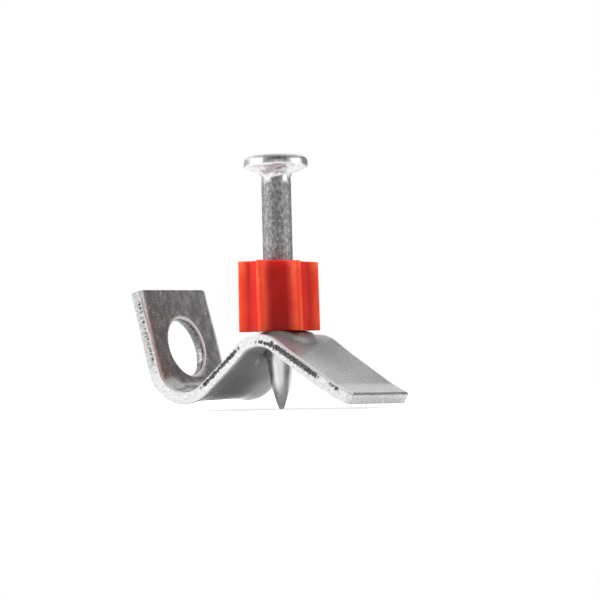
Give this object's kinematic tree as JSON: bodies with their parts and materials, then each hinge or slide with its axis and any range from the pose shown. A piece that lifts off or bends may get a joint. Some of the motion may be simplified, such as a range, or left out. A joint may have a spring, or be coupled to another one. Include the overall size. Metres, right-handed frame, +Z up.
{
  "type": "nail-in ceiling clip",
  "caption": "Bent steel strap with a round hole in its upright tab, held on a flat-headed drive pin by a fluted plastic guide sleeve, for hanging wires or rods from a ceiling.",
  "frame": {"origin": "the drive pin's point", "axes": "+Z up the pin to its head, +X along the strap from the tab to the plain foot, Y across the strap"},
  "size_m": [0.0315, 0.0148, 0.0314],
  "materials": {
    "pin_steel": "zinc plated, satin, finely mottled",
    "sleeve_plastic": "moulded, slightly glossy, red",
    "strap_steel": "zinc plated strip with sheared edges"
  },
  "bodies": {
    "root": {"drive_pin": "pin_steel", "guide_sleeve": "sleeve_plastic", "ceiling_clip": "strap_steel"}
  },
  "joints": []
}
